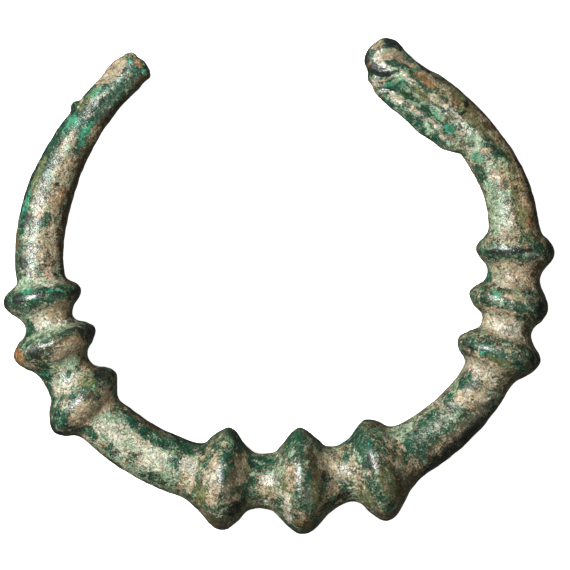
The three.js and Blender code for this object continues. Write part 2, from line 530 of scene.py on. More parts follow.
THICK_COLLAR_STAINS = (
    Stain(OLIVE, -108, 52, 4, 9, 0.75),
    Stain(TAN, -107, 95, 3.5, 10, 0.7),
    Stain(CREAM, -106.5, 88, 2.5, 9, 0.55),
    Stain(GREEN, -103.5, 116, 5, 10, 0.95),
    Stain(GREEN, -103, 162, 8, 14, 0.92),
    Stain(MINT, -104, 142, 3, 6, 0.58),
    Stain(MINT, -106, 142, 3, 4, 0.62),
    Stain(TAN, -105, 70, 3.5, 10, 0.78),
    Stain(BROWN, -101.5, 100, 3.5, 24, 0.62),
    Stain(BROWN, -103, 25, 6, 12, 0.72),
    Stain(TAN, -99.5, 122, 5, 8, 0.82),
    Stain(TAN, -99.3, 84, 3, 9, 0.62),
    Stain(GREEN, -94.5, 140, 10, 6, 0.98),
    Stain(GREEN, -96.5, 84, 7, 5, 0.78),
    Stain(BLACK, -99, 55, 5, 5, 0.72),
    Stain(CREAM, -92.5, 98, 4, 4, 0.72),
    Stain(TAN, -92, 68, 4, 5, 0.7),
    Stain(MINT, -88.5, 122, 3, 5, 0.66),
    Stain(OLIVE, -87.5, 84, 4, 12, 0.7),
    Stain(CREAM, -90, 78, 3, 8, 0.5),
    Stain(CREAM, -87.5, 58, 2.5, 11, 0.75),
    Stain(TAN, -86, 100, 3.5, 9, 0.8),
    Stain(GREEN, -84, 145, 7, 9, 0.95),
    Stain(GREEN, -84, 170, 6, 12, 0.92),
    Stain(MINT, -85.5, 138, 2.4, 5, 0.62),
    Stain(GREEN, -81.8, 76, 3, 12, 0.95),
    Stain(BROWN, -79.6, 92, 3.0, 20, 0.8),
    Stain(OLIVE, -80.8, 70, 3.0, 10, 0.62),
    Stain(RUST, -84, 42, 4, 6, 0.62),
    Stain(TAN, -85, 52, 4, 5, 0.66),
    Stain(GREEN, -87, 22, 4, 5, 0.85),
    Stain(BROWN, -83, 12, 6, 8, 0.85),
    Stain(TAN, -76, 112, 5, 9, 0.86),
    Stain(BLACK, -77, 90, 3, 4, 0.66),
    Stain(CREAM, -73, 108, 4, 5, 0.6),
    Stain(GREEN, -72.5, 72, 5, 4, 0.92),
    Stain(BLACK, -74, 48, 5, 4, 0.66),
    Stain(CREAM, -69.5, 88, 2.5, 10, 0.75),
    Stain(OLIVE, -69.5, 62, 4, 9, 0.72),
    Stain(TAN, -76, 66, 4, 5, 0.74),
    Stain(TAN, -69, 104, 3, 9, 0.66),
    Stain(GREEN, -65, 128, 6, 12, 0.95),
    Stain(GREEN, -66, 160, 6, 12, 0.88),
    Stain(MINT, -67.5, 124, 2.4, 5, 0.6),
    Stain(BLACK, -65, 105, 3.5, 4, 0.85),
    Stain(GREEN, -67, 76, 3, 8, 0.72),
    Stain(BROWN, -62.5, 62, 5, 16, 0.8),
    Stain(OLIVE, -63.5, 70, 5, 12, 0.66),
    Stain(BROWN, -66, 18, 6, 9, 0.85),
)

RIGHT_ROD_STAINS = (
    Stain(MINT, -54, 140, 10, 7, 0.7),
    Stain(TAN, -58, 92, 6, 8, 0.6),
    Stain(MINT, -50, 128, 8, 5, 0.58),
    Stain(TAN, -54, 88, 9, 7, 0.5),
    Stain(GREEN, -47, 92, 22, 12, 0.72),
    Stain(GREEN, -45.5, 132, 7, 4, 0.78),
    Stain(GREEN, -38, 134, 3, 3, 0.98),
    Stain(GREEN, -51, 72, 7, 6, 0.78),
    Stain(MINT, -42, 108, 14, 6, 0.5),
    Stain(CREAM, -44, 100, 8, 5, 0.4),
    Stain(TAN, -34, 105, 11, 9, 0.74),
    Stain(BROWN, -44, 58, 22, 7, 0.72),
    Stain(TAN, -46, 60, 14, 4, 0.46),
    # Partly painted shade: black along the rod's outer, lower edge.
    Stain(BLACK, -44, 28, 30, 10, 0.78),
    Stain(BROWN, -58, 46, 8, 7, 0.66),
    Stain(TAN, -57, 62, 7, 4, 0.58),
    Stain(GREEN, -44, 88, 4, 4, 0.72),
)

RIGHT_COLLAR_STAINS = (
    Stain(TAN, -28.5, 104, 7, 16, 0.86),
    Stain(CREAM, -28.2, 104, 5, 12, 0.68),
    Stain(TAN, -25.6, 104, 2.4, 16, 0.8),
    Stain(GREEN, -32.5, 132, 7, 5, 0.85),
    Stain(GREEN, -31.5, 105, 4, 4, 0.66),
    Stain(BROWN, -26, 45, 12, 7, 0.7),
    Stain(GREEN, -23.3, 100, 3.2, 26, 0.8),
    Stain(OLIVE, -24.4, 80, 2.6, 11, 0.72),
    Stain(BLACK, -25, 140, 4, 7, 0.66),
    Stain(VIVID, -24.5, 114, 1.8, 3, 0.6),
    Stain(BLACK, -21.5, 22, 5, 10, 0.7),
    Stain(TAN, -16.5, 94, 6, 19, 0.98),
    Stain(CREAM, -16.5, 94, 5, 13, 0.86),
    Stain(BROWN, -15, 40, 8, 5, 0.6),
    Stain(GREEN, -11, 100, 2.6, 28, 0.74),
    Stain(TAN, -8.8, 86, 1.8, 7, 0.72),
    Stain(TAN, -12.9, 104, 2.0, 14, 0.76),
    Stain(MINT, -10.5, 110, 3, 5, 0.62),
    Stain(VIVID, -8.7, 112, 1.6, 3, 1.0),
    Stain(GREEN, -13.3, 76, 1.6, 2, 0.9),
    Stain(BLACK, -10.5, 24, 5, 11, 0.72),
    Stain(CREAM, -4.5, 100, 6, 12, 0.82),
    Stain(TAN, -4, 80, 7, 15, 0.92),
    Stain(BROWN, -3, 38, 7, 6, 0.66),
    Stain(GREEN, -4.5, 160, 5, 4, 0.8),
    Stain(GREEN, 2, 100, 3.2, 30, 0.76),
    Stain(TAN, -0.8, 96, 2.4, 14, 0.7),
    Stain(BLACK, 2.2, 102, 2, 16, 0.84),
    Stain(MINT, 4.2, 118, 3, 5, 0.55),
    Stain(BLACK, 1.5, 20, 6, 9, 0.62),
)

RIGHT_ARM_STAINS = (
    Stain(TAN, 9, 92, 14, 11, 0.64),
    Stain(CREAM, 8, 112, 10, 6, 0.38),
    Stain(MINT, 14, 128, 18, 6, 0.82),
    Stain(BROWN, 15, 44, 28, 8, 0.86),
    Stain(OLIVE, 14, 62, 24, 6, 0.78),
    Stain(RUST, 14, 46, 24, 3.5, 0.42),
    Stain(TAN, 15, 46, 26, 6, 0.5),
    # Partly painted shade: black along the arm's outer edge.
    Stain(BLACK, 14, 14, 30, 5, 0.45),
    Stain(RUST, 8, 54, 4, 3, 0.66),
    Stain(BLACK, 9, 42, 1.2, 1.2, 0.85),
    Stain(TAN, 21, 92, 9, 6, 0.66),
    Stain(MINT, 24, 78, 7, 5, 0.6),
    Stain(GREEN, 27, 62, 10, 5, 0.88),
    Stain(BLACK, 26.5, 66, 4, 3, 0.66),
    Stain(VIVID, 27, 124, 3.4, 2.6, 0.8),
    Stain(MINT, 31, 100, 6, 5, 0.78),
    Stain(GREEN, 23, 142, 7, 4, 0.72),
    Stain(BROWN, 32, 34, 18, 7, 0.85),
    Stain(OLIVE, 30, 46, 18, 4, 0.56),
    Stain(TAN, 31, 38, 18, 5, 0.56),
)

KNOBBED_END_STAINS = (
    Stain(GREEN, 48, 90, 26, 16, 0.62),
    Stain(BROWN, 42, 30, 24, 7, 0.8),
    Stain(TAN, 39, 38, 18, 6, 0.56),
    Stain(OLIVE, 37, 52, 12, 5, 0.6),
    Stain(GREEN, 46, 150, 26, 10, 0.85),
    Stain(MINT, 44, 158, 24, 6, 0.5),
    Stain(BROWN, 46, 200, 28, 8, 0.62),
)

STAINS = (
    *LEFT_ARM_STAINS,
    *LEFT_COLLAR_STAINS,
    *LEFT_ROD_STAINS,
    *THICK_COLLAR_STAINS,
    *RIGHT_ROD_STAINS,
    *RIGHT_COLLAR_STAINS,
    *RIGHT_ARM_STAINS,
    *KNOBBED_END_STAINS,
)

POLISHED = (
    Stain(None, -224, 86, 24, 7, 0.6),
    Stain(None, -203, 62, 62, 9, 0.52),
    Stain(None, -184, 58, 20, 7, 0.8),
    Stain(None, -171, 62, 6, 10, 1.0),
    Stain(None, -159.5, 75, 5, 15, 1.0),
    Stain(None, -151, 80, 6, 7, 0.6),
    Stain(None, -145, 85, 5, 13, 1.0),
    Stain(None, -103, 90, 7, 15, 0.8),
    Stain(None, -92, 98, 6, 6, 0.9),
    Stain(None, -82.5, 95, 6, 16, 1.0),
    Stain(None, -73, 100, 6, 7, 0.9),
    Stain(None, -65.5, 105, 5, 9, 1.0),
    Stain(None, -23, 105, 5, 13, 0.8),
    Stain(None, -10.5, 105, 5, 11, 0.8),
    Stain(None, 2, 100, 5, 19, 1.0),
    Stain(None, 12, 108, 9, 6, 0.5),
    Stain(None, 38, 66, 18, 6, 0.9),
    Stain(None, 56, 90, 30, 40, 0.9),
)


@dataclass(frozen=True)
class Dab:
    """A small patch on the top of the casting, placed as it is seen from above.

    Attributes:
        coat: Which coat gathers there; some dabs of cream, mint and black paint highlights and shade
            instead.
        place: Its middle, in millimetres.
        length: How far it runs, in millimetres.
        width: How wide it is, in millimetres.
        heading: Which way it runs, in degrees from +X towards +Y.
        amount: How surely the coat lies there.
        rim: Where its cover starts and where it is full, by the square of its half size.
        facing: How far the casting faces up where the dab starts and where it is full.
    """

    coat: Coat
    place: Pair
    length: float
    width: float
    heading: float
    amount: float = 0.95
    rim: Pair = (1.6, 0.4)
    facing: Pair = (-0.3, 0.1)

    def cover(self, places: Places, upward: Amounts) -> Amounts:
        """Works out how fully the dab covers each vertex.

        Args:
            places: The vertex places.
            upward: How far each vertex faces up.

        Returns:
            The cover, from 0 to 1.
        """
        offset = places[:, :2] - np.array(self.place) * MM
        patch = oval(*offset.T, self.length, self.width, self.heading, self.rim)
        return patch * smooth_step(*self.facing, upward)


DROP_DABS = (
    Dab(GREEN, (-57.2, 50.9), 3.4, 2.8, 62, 0.95),
    Dab(BLACK, (-58.0, 49.8), 2.6, 1.2, 70, 0.85),
    Dab(TAN, (-55.8, 50.8), 3.8, 0.8, 62, 0.8),
)

KNOB_DABS = (
    Dab(GREEN, (30.0, 63.5), 15, 13, 0, 0.75),
    # Partly painted shade: black on the knob's steep upper-right side, standing for its shade and
    # dark reflection as well as polish.
    Dab(BLACK, (31.5, 67.8), 5.0, 3.0, -10, 1.1),
    Dab(BLACK, (33.5, 66.6), 2.4, 2.4, -60, 0.9),
    Dab(TAN, (27.7, 67.2), 4.2, 1.8, 36),
    Dab(RUST, (28.4, 66.7), 3.0, 1.0, 36, 0.7),
    # Partly painted shade: black along the knob's steep left rim.
    Dab(BLACK, (24.7, 63.6), 4.6, 2.0, 84, 1.1),
    # Painted highlight: these cream dabs and the small mint one draw the knob's pale crescent of
    # reflected light.
    Dab(CREAM, (28.0, 65.2), 2.8, 1.3, 42, 0.85),
    Dab(CREAM, (27.3, 63.7), 2.8, 1.7, -70, 0.95),
    Dab(CREAM, (28.4, 62.3), 3.6, 1.8, -42, 0.98),
    Dab(CREAM, (30.2, 61.2), 3.2, 1.3, -22, 0.85),
    Dab(MINT, (29.3, 66.0), 1.6, 0.8, 20, 0.72),
    Dab(TAN, (29.9, 64.2), 4.0, 2.4, -10, 1.0),
    Dab(TAN, (32.6, 64.9), 4.6, 2.4, -42, 1.0),
    Dab(TAN, (34.5, 63.1), 3.6, 1.7, -35, 1.0),
    Dab(MINT, (35.0, 65.2), 3.0, 1.1, -50, 0.7),
    Dab(GREEN, (32.6, 62.0), 2.8, 1.1, -15, 0.78),
    Dab(GREEN, (34.4, 61.6), 2.6, 1.4, 0, 1.0),
    # Partly painted shade: black over the knob's steep lower-left lobe.
    Dab(BLACK, (28.0, 60.0), 6.6, 2.6, -14, 1.1),
    Dab(BLACK, (25.8, 61.2), 2.6, 2.2, 60, 1.0),
    Dab(RUST, (25.0, 61.8), 1.8, 1.2, 70, 0.85),
    Dab(MINT, (32.0, 60.5), 2.4, 1.0, 15, 0.7),
)

LIP_DABS = (
    Dab(TAN, (28.4, 57.4), 4.4, 1.0, 3, 0.9),
    Dab(CREAM, (31.6, 58.5), 4.0, 0.9, 32, 0.8),
    Dab(CREAM, (26.6, 57.0), 2.4, 1.8, -40, 0.7),
    Dab(VIVID, (33.4, 57.3), 3.8, 2.0, 35, 0.85),
    Dab(MINT, (32.9, 57.4), 4.0, 1.7, 38, 1.0),
    Dab(VIVID, (30.6, 56.3), 3.6, 1.2, 15, 0.76),
    # Painted highlight: mint and cream along the ridge below the knob's lip.
    Dab(MINT, (35.4, 58.7), 4.4, 2.0, -52, 1.0),
    Dab(CREAM, (35.1, 59.1), 3.6, 1.3, -52, 0.95),
    Dab(CREAM, (37.0, 57.0), 4.6, 1.3, -42, 0.85),
    Dab(MINT, (39.0, 55.4), 3.8, 1.4, -38, 0.8),
    Dab(GREEN, (40.0, 56.6), 3.4, 1.5, -42, 1.0),
    Dab(BLACK, (41.0, 55.9), 1.8, 1.0, -42, 0.75),
    Dab(VIVID, (38.4, 60.2), 2.2, 1.7, 0, 1.05),
    Dab(TAN, (37.2, 61.6), 2.6, 1.1, -20, 0.9),
    Dab(GREEN, (39.4, 62.0), 3.6, 1.2, -45, 0.95),
    Dab(RUST, (41.0, 57.8), 7.4, 3.6, -38, 0.86),
    Dab(TAN, (42.4, 58.0), 5.4, 1.6, -48, 0.95),
    Dab(TAN, (40.2, 59.6), 2.4, 1.2, 20, 0.85),
    Dab(BLACK, (42.0, 59.9), 1.6, 1.0, 0, 0.8),
    Dab(GREEN, (35.8, 54.2), 4.4, 1.8, -32, 0.72),
    Dab(VIVID, (34.2, 55.6), 4.4, 1.7, -30, 0.82),
    Dab(MINT, (35.0, 55.2), 4.6, 1.6, -32, 0.62),
    # Painted shadow: black and brown in the dark line under the lip's overhang.
    Dab(BLACK, (30.7, 54.8), 4.6, 0.8, -14, 1.0),
    Dab(BROWN, (28.4, 55.1), 3.0, 1.0, 0, 0.9),
)

HOLLOW_DABS = (
    Dab(CREAM, (32.9, 52.6), 5.4, 2.4, -30, 1.05),
    Dab(TAN, (33.4, 53.1), 4.0, 1.2, -30, 0.9),
    Dab(VIVID, (29.8, 53.2), 2.4, 1.0, -40, 0.75),
    Dab(MINT, (31.4, 51.6), 4.4, 1.0, -36, 0.8),
    # Painted highlight: a small cream glint in the hollow.
    Dab(CREAM, (36.7, 51.4), 2.6, 0.8, -28, 1.0),
    Dab(MINT, (37.9, 50.9), 3.6, 1.0, -34, 0.95),
    Dab(OLIVE, (39.8, 53.2), 6.0, 2.8, -35, 0.95),
    Dab(MINT, (39.4, 52.2), 5.4, 1.8, -36, 0.82),
    Dab(TAN, (43.4, 52.3), 5.0, 1.9, -38, 0.95),
    Dab(TAN, (45.8, 50.8), 3.6, 1.7, -40, 0.9),
    Dab(RUST, (36.8, 49.9), 3.8, 1.4, -32, 0.9),
    Dab(TAN, (38.6, 48.9), 4.2, 1.3, -32, 0.85),
    Dab(GREEN, (40.9, 48.3), 4.6, 1.5, -42, 1.05),
    Dab(TAN, (42.9, 45.6), 4.4, 1.4, -38, 0.9),
    Dab(CREAM, (44.4, 44.6), 2.2, 1.1, -38, 0.85),
    Dab(MINT, (44.2, 48.2), 6.4, 2.2, -46, 1.0),
    Dab(VIVID, (44.0, 47.8), 3.8, 1.2, -46, 0.58),
    Dab(GREEN, (42.5, 42.9), 9.0, 3.4, -36, 0.8),
    Dab(MINT, (41.8, 43.4), 7.0, 2.4, -36, 0.55),
    Dab(TAN, (45.8, 41.4), 2.2, 1.3, -30, 0.85),
    Dab(VIVID, (47.6, 43.8), 3.2, 2.2, -50, 0.85),
    Dab(RUST, (48.1, 41.4), 1.6, 1.6, 0, 0.8),
    Dab(GREEN, (35.6, 47.0), 13.0, 2.8, -38, 1.05),
    Dab(GREEN, (31.6, 50.0), 9.0, 2.4, -40, 1.05),
    Dab(MINT, (36.5, 46.4), 12.0, 2.0, -38, 0.24),
)

CREST_DABS = (
    # Painted highlight: cream along the streak of reflected light on the end's crest.
    Dab(CREAM, (46.8, 50.0), 3.6, 1.5, -42, 0.7),
    Dab(CREAM, (49.6, 47.3), 5.0, 1.7, -48, 0.75),
    Dab(CREAM, (52.0, 43.8), 4.2, 1.6, -62, 0.7),
    Dab(BLACK, (51.4, 48.3), 2.8, 1.0, 25, 0.95),
    Dab(BLACK, (52.4, 50.9), 1.7, 2.2, 0, 0.9),
    Dab(RUST, (49.7, 51.2), 2.6, 1.8, -20, 0.85),
    Dab(RUST, (40.4, 52.4), 4.6, 1.2, -35, 0.6),
    Dab(MINT, (54.4, 41.0), 3.2, 4.0, 0, 0.8),
    Dab(BLACK, (53.6, 39.4), 2.6, 2.0, -60, 0.6),
    Dab(OLIVE, (50.2, 53.4), 6.4, 2.6, -40, 0.75),
    Dab(OLIVE, (48.4, 47.0), 3.4, 2.0, -50, 0.7),
)

DABS = DROP_DABS + KNOB_DABS + LIP_DABS + HOLLOW_DABS + CREST_DABS


# ---- The casting ----


@dataclass(frozen=True)
class Groove:
    """A line pressed into the top of the casting.

    Attributes:
        route: The places that it runs through, in millimetres, seen from above.
        width: How wide it is, in millimetres.
        depth: How deep it is, in millimetres; a ridge has a negative depth.
    """

    route: tuple[Pair, ...]
    width: float
    depth: float

    def cover(self, places: Places) -> Amounts:
        """Works out how deep in the groove each vertex is.

        Args:
            places: The vertex places.

        Returns:
            The share of the groove's depth, from 0 to 1.
        """
        points = np.array(self.route) * MM
        nearest = np.full(len(places), np.inf)
        for start, end in zip(points[:-1], points[1:]):
            run = end - start
            share = np.clip((places[:, :2] - start) @ run / (run @ run), 0, 1)
            gap = places[:, :2] - (start + share[:, None] * run)
            nearest = np.minimum(nearest, np.hypot(gap[:, 0], gap[:, 1]))
        return smooth_step(1.0, 0.0, nearest / (self.width * MM / 2))


@dataclass(frozen=True)
class Swelling:
    """A place where the casting stands out sideways, or falls in.

    Attributes:
        place: Its middle, in millimetres, seen from above.
        size: How wide it is, in millimetres.
        rise: How far it stands out, in millimetres.
    """

    place: Pair
    size: float
    rise: float

    def push(self, places: Places, normals: Places) -> Places:
        """Works out how far each vertex moves, all of it sideways.

        Args:
            places: The vertex places.
            normals: The vertex normals.

        Returns:
            The moves, one row each.
        """
        gap = np.hypot(*(places[:, :2] - np.array(self.place) * MM).T)
        cover = smooth_step(1.0, 0.0, gap / (self.size * MM / 2))
        return normals * np.array((1.0, 1.0, 0.0)) * (self.rise * MM * cover)[:, None]


@dataclass(frozen=True)
class Relief:
    """One grade of unevenness, pushed into the mesh.

    Attributes:
        name: What it is.
        grain: The size of its lumps, in millimetres.
        height: Its height from the deepest to the highest, in millimetres.
        octaves: How many finer grades it carries.
        crusted: Whether it lies only on the crusts.
    """

    name: str
    grain: float
    height: float
    octaves: int
    crusted: bool


@dataclass
class Casting:
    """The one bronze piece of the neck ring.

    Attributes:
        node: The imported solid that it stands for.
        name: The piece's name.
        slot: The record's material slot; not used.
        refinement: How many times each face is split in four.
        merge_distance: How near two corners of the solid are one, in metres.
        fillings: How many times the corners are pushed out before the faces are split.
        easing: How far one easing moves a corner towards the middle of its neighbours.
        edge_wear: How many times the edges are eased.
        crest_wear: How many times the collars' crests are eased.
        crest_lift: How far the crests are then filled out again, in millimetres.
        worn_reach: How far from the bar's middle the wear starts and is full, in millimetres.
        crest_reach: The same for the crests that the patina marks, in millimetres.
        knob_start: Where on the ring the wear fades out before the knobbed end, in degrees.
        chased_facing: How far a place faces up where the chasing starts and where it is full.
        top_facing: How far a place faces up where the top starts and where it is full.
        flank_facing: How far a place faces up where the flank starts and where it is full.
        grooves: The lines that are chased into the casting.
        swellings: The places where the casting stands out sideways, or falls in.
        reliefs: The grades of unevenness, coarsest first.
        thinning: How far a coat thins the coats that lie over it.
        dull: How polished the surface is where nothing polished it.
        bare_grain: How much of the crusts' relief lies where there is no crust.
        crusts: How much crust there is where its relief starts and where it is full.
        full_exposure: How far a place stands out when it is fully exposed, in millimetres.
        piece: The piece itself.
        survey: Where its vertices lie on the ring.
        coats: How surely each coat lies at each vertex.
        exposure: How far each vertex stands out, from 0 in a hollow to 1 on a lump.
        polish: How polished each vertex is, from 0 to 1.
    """

    node: str = "torc"
    name: str = "torc_casting"
    slot: str = "bronze"
    refinement: int = 2
    merge_distance: float = 1e-6
    fillings: int = 3
    easing: float = 0.5
    edge_wear: int = 2
    crest_wear: int = 60
    crest_lift: float = 0.34
    worn_reach: Pair = (8.0, 10.0)
    crest_reach: Pair = (7.8, 10.5)
    knob_start: Pair = (42.0, 38.0)
    chased_facing: Pair = (-0.1, 0.4)
    top_facing: Pair = (-0.2, 0.5)
    flank_facing: Pair = (0.75, 0.25)
    grooves: tuple[Groove, ...] = (
        Groove(((26.8, 63.6), (29.6, 64.0), (32.6, 64.2), (35.4, 63.0)), 4.4, 0.9),
        Groove(((26.0, 60.8), (28.5, 59.9), (31.5, 60.3)), 2.6, -0.3),
        Groove(((30.0, 67.8), (32.0, 67.7), (33.4, 66.4)), 3.0, -0.5),
        Groove(((25.2, 59.1), (28.0, 58.1), (30.1, 58.1), (32.1, 58.9), (34.9, 60.6)), 1.7, 1.0),
        Groove(((26.8, 57.2), (29.3, 57.3), (32.1, 58.1), (34.0, 59.2)), 1.3, -0.35),
        Groove(((34.5, 59.6), (35.8, 57.6), (38.2, 55.6), (41.0, 53.5)), 2.4, -0.45),
        Groove(((28.4, 55.1), (30.7, 54.8), (32.4, 54.1), (34.3, 53.0)), 1.2, 1.0),
        Groove(((30.5, 53.4), (33.5, 52.1), (36.5, 50.6)), 3.0, 0.45),
        Groove(((37.0, 50.6), (40.5, 48.5), (43.2, 45.6), (45.2, 42.8)), 2.8, 0.6),
        Groove(((38.2, 51.2), (41.8, 49.1), (44.4, 46.2), (46.4, 42.6)), 1.5, -0.35),
        Groove(((-55.2, 52.4), (-56.0, 50.6), (-56.9, 48.7)), 1.3, 0.45),
    )
    swellings: tuple[Swelling, ...] = (
        Swelling((36.6, 63.2), 7.0, 0.8),
        Swelling((38.6, 61.4), 6.0, 0.5),
        Swelling((24.6, 62.6), 7.0, 0.4),
        Swelling((25.0, 57.8), 6.0, 0.6),
        Swelling((29.5, 69.2), 5.0, 0.35),
        Swelling((-46.5, 62.6), 9.0, 0.8),
        Swelling((-37.9, 62.3), 5.0, 0.45),
        Swelling((-41.0, 55.5), 7.0, 0.3),
        Swelling((-47.8, 60.0), 5.0, 0.5),
        Swelling((-35.9, 59.7), 2.8, -0.35),
        Swelling((-57.2, 50.4), 3.4, 0.6),
        Swelling((-73.6, 0.2), 6.0, -0.5),
        Swelling((-57.5, -8.6), 5.0, -0.35),
        Swelling((-69.1, -24.0), 5.0, -0.3),
        Swelling((-63.8, -33.0), 9.0, -0.35),
        Swelling((-43.5, -31.9), 5.0, -0.35),
        Swelling((-18.7, -42.0), 6.0, 0.3),
        Swelling((-21.1, -64.1), 8.0, -0.6),
        Swelling((4.9, -40.7), 4.0, -0.35),
        Swelling((10.4, -43.2), 6.0, 0.6),
        Swelling((22.0, -38.2), 4.5, -0.4),
        Swelling((26.8, -37.6), 4.5, 0.3),
        Swelling((5.0, -69.0), 5.0, 0.4),
        Swelling((13.5, -64.0), 8.0, -0.45),
        Swelling((39.6, -53.9), 6.0, 0.35),
        Swelling((72.3, -17.9), 7.0, -0.45),
        Swelling((50.8, -17.4), 5.0, 0.3),
        Swelling((55.0, -5.8), 5.0, 0.35),
        Swelling((74.2, 14.3), 5.0, -0.4),
    )
    reliefs: tuple[Relief, ...] = (
        Relief("hammered_lumps", 6.5, 0.32, 1, False),
        Relief("worn_dimples", 2.6, 0.34, 2, False),
        Relief("crust_grain", 1.2, 0.28, 3, True),
    )
    thinning: float = 0.75
    dull: float = 0.25
    bare_grain: float = 0.25
    crusts: Pair = (0.2, 1.1)
    full_exposure: float = 0.28
    piece: bpy.types.Object = field(init=False)
    survey: BarSurvey = field(init=False)
    coats: dict[Coat, Amounts] = field(init=False)
    exposure: Amounts = field(init=False)
    polish: Amounts = field(init=False)

    def build(self) -> bpy.types.Object:
        """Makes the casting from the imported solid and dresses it.

        Returns:
            The finished piece.
        """
        self._copy_the_solid()
        self._fill_out()
        self._refine()
        self._chase_the_ends()
        self._blunt_the_collars()
        self.survey = BarSurvey(vertex_places(self.piece))
        self._lay_out_the_patina()
        self._roughen()
        self._keep_off_the_table()
        self._store_the_patina()
        self.piece.data.materials.clear()
        self.piece.data.materials.append(PatinaMaterial().build())
        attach(self.piece, "root")
        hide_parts(self.node)
        return self.piece

    def _copy_the_solid(self) -> None:
        """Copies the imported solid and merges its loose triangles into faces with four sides."""
        take_up(frame["nodes"][self.node])
        bpy.ops.object.duplicate(linked=False)
        self.piece = bpy.context.active_object
        self.piece.name = self.name
        self.piece.data.name = self.name
        self.piece.parent = None
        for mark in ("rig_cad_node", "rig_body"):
            if mark in self.piece:
                del self.piece[mark]
        take_up(self.piece)
        if self.piece.data.has_custom_normals:
            bpy.ops.mesh.customdata_custom_splitnormals_clear()
        bpy.ops.object.mode_set(mode="EDIT")
        bpy.ops.mesh.select_all(action="SELECT")
        bpy.ops.mesh.remove_doubles(threshold=self.merge_distance)
        bpy.ops.mesh.tris_convert_to_quads()
        bpy.ops.object.mode_set(mode="OBJECT")

    def _fill_out(self) -> None:
        """Pushes the corners out, so that the rounded surface passes through where they were."""
        corners = vertex_places(self.piece)
        for _ in range(self.fillings):
            rounding = self.piece.modifiers.new("trial_rounding", "SUBSURF")
            rounding.levels = 1
            graph = bpy.context.evaluated_depsgraph_get()
            rounded = bpy.data.meshes.new_from_object(self.piece.evaluated_get(graph))
            short = corners - rows_of(rounded.vertices, "co")[:len(corners)]
            self.piece.modifiers.remove(rounding)
            bpy.data.meshes.remove(rounded)
            put_vertices(self.piece, vertex_places(self.piece) + short)

    def _refine(self) -> None:
        """Splits the faces and rounds them off, and shades them smooth."""
        rounding = self.piece.modifiers.new("rounding", "SUBSURF")
        rounding.levels = self.refinement
        rounding.render_levels = self.refinement
        bpy.ops.object.modifier_apply(modifier=rounding.name)
        self._ease(self.edge_wear)
        bpy.ops.object.shade_smooth()

    def _ease(self, times: int, shares: Amounts | None = None) -> None:
        """Evens the surface out, as wear does.

        Args:
            times: How many times it is eased.
            shares: How far each vertex takes part, where not all of them do.
        """
        wear = self.piece.modifiers.new("wear", "SMOOTH")
        wear.factor = self.easing
        wear.iterations = times
        self._apply(wear, shares)

    def _apply(self, modifier: bpy.types.Modifier, shares: Amounts | None) -> None:
        """Applies a modifier to the piece.

        Args:
            modifier: The modifier.
            shares: How far each vertex takes part, where not all of them do.
        """
        if shares is not None:
            group = self.piece.vertex_groups.new(name=SHARES)
            for index, share in enumerate(shares):
                group.add([index], float(share), "REPLACE")
            modifier.vertex_group = SHARES
        bpy.ops.object.modifier_apply(modifier=modifier.name)
        self.piece.vertex_groups.clear()

    def _chase_the_ends(self) -> None:
        """Presses the creases and hollows into the mesh and brings its swellings out."""
        places = vertex_places(self.piece)
        facing_up = smooth_step(*self.chased_facing, vertex_normals(self.piece)[:, 2])
        for groove in self.grooves:
            normals = vertex_normals(self.piece)
            depth = groove.depth * MM * groove.cover(places) * facing_up
            places = places - normals * depth[:, None]
            put_vertices(self.piece, places)
        for swelling in self.swellings:
            places = places + swelling.push(places, vertex_normals(self.piece))
            put_vertices(self.piece, places)

    def _blunt_the_collars(self) -> None:
        """Wears the collars' crests round, as long handling does."""
        survey = BarSurvey(vertex_places(self.piece))
        worn = smooth_step(*self.worn_reach, survey.reach / MM)
        worn = worn * smooth_step(*self.knob_start, survey.angle)
        self._ease(self.crest_wear, worn)
        lift = vertex_normals(self.piece) * (self.crest_lift * MM * worn)[:, None]
        put_vertices(self.piece, vertex_places(self.piece) + lift)

    def _lay_out_the_patina(self) -> None:
        """Works out how surely each coat lies at each vertex, and how polished it is."""
        upward = vertex_normals(self.piece)[:, 2]
        top = smooth_step(*self.top_facing, upward)
        flank = smooth_step(*self.flank_facing, upward)
        crest = smooth_step(*self.crest_reach, self.survey.reach / MM)
        # The flank term darkens the bar's sides with brown: partly painted shade.
        self.coats = {
            lean.coat: lean.plain + lean.top * top + lean.flank * flank
            + lean.crest * crest + lean.under * (1 - top)
            for lean in TENDENCIES
        }
        for stain in STAINS:
            self._lay(stain.coat, stain.cover(self.survey), stain.amount)
        for dab in DABS:
            self._lay(dab.coat, dab.cover(self.survey.places, upward), dab.amount)
        self.polish = np.full(len(upward), self.dull)
        for patch in POLISHED:
            self.polish += (patch.amount - self.polish) * patch.cover(self.survey)

    def _lay(self, coat: Coat, cover: Amounts, amount: float) -> None:
        """Gathers one coat on a patch and thins the coats that lie over it.

        Args:
            coat: The coat that gathers.
            cover: How fully the patch covers each vertex.
            amount: How surely the coat lies there.
        """
        self.coats[coat] += (amount - self.coats[coat]) * cover
        order = list(Coat)
        for upper in order[order.index(coat) + 1:]:
            self.coats[upper] = self.coats[upper] * (1 - self.thinning * cover * amount)

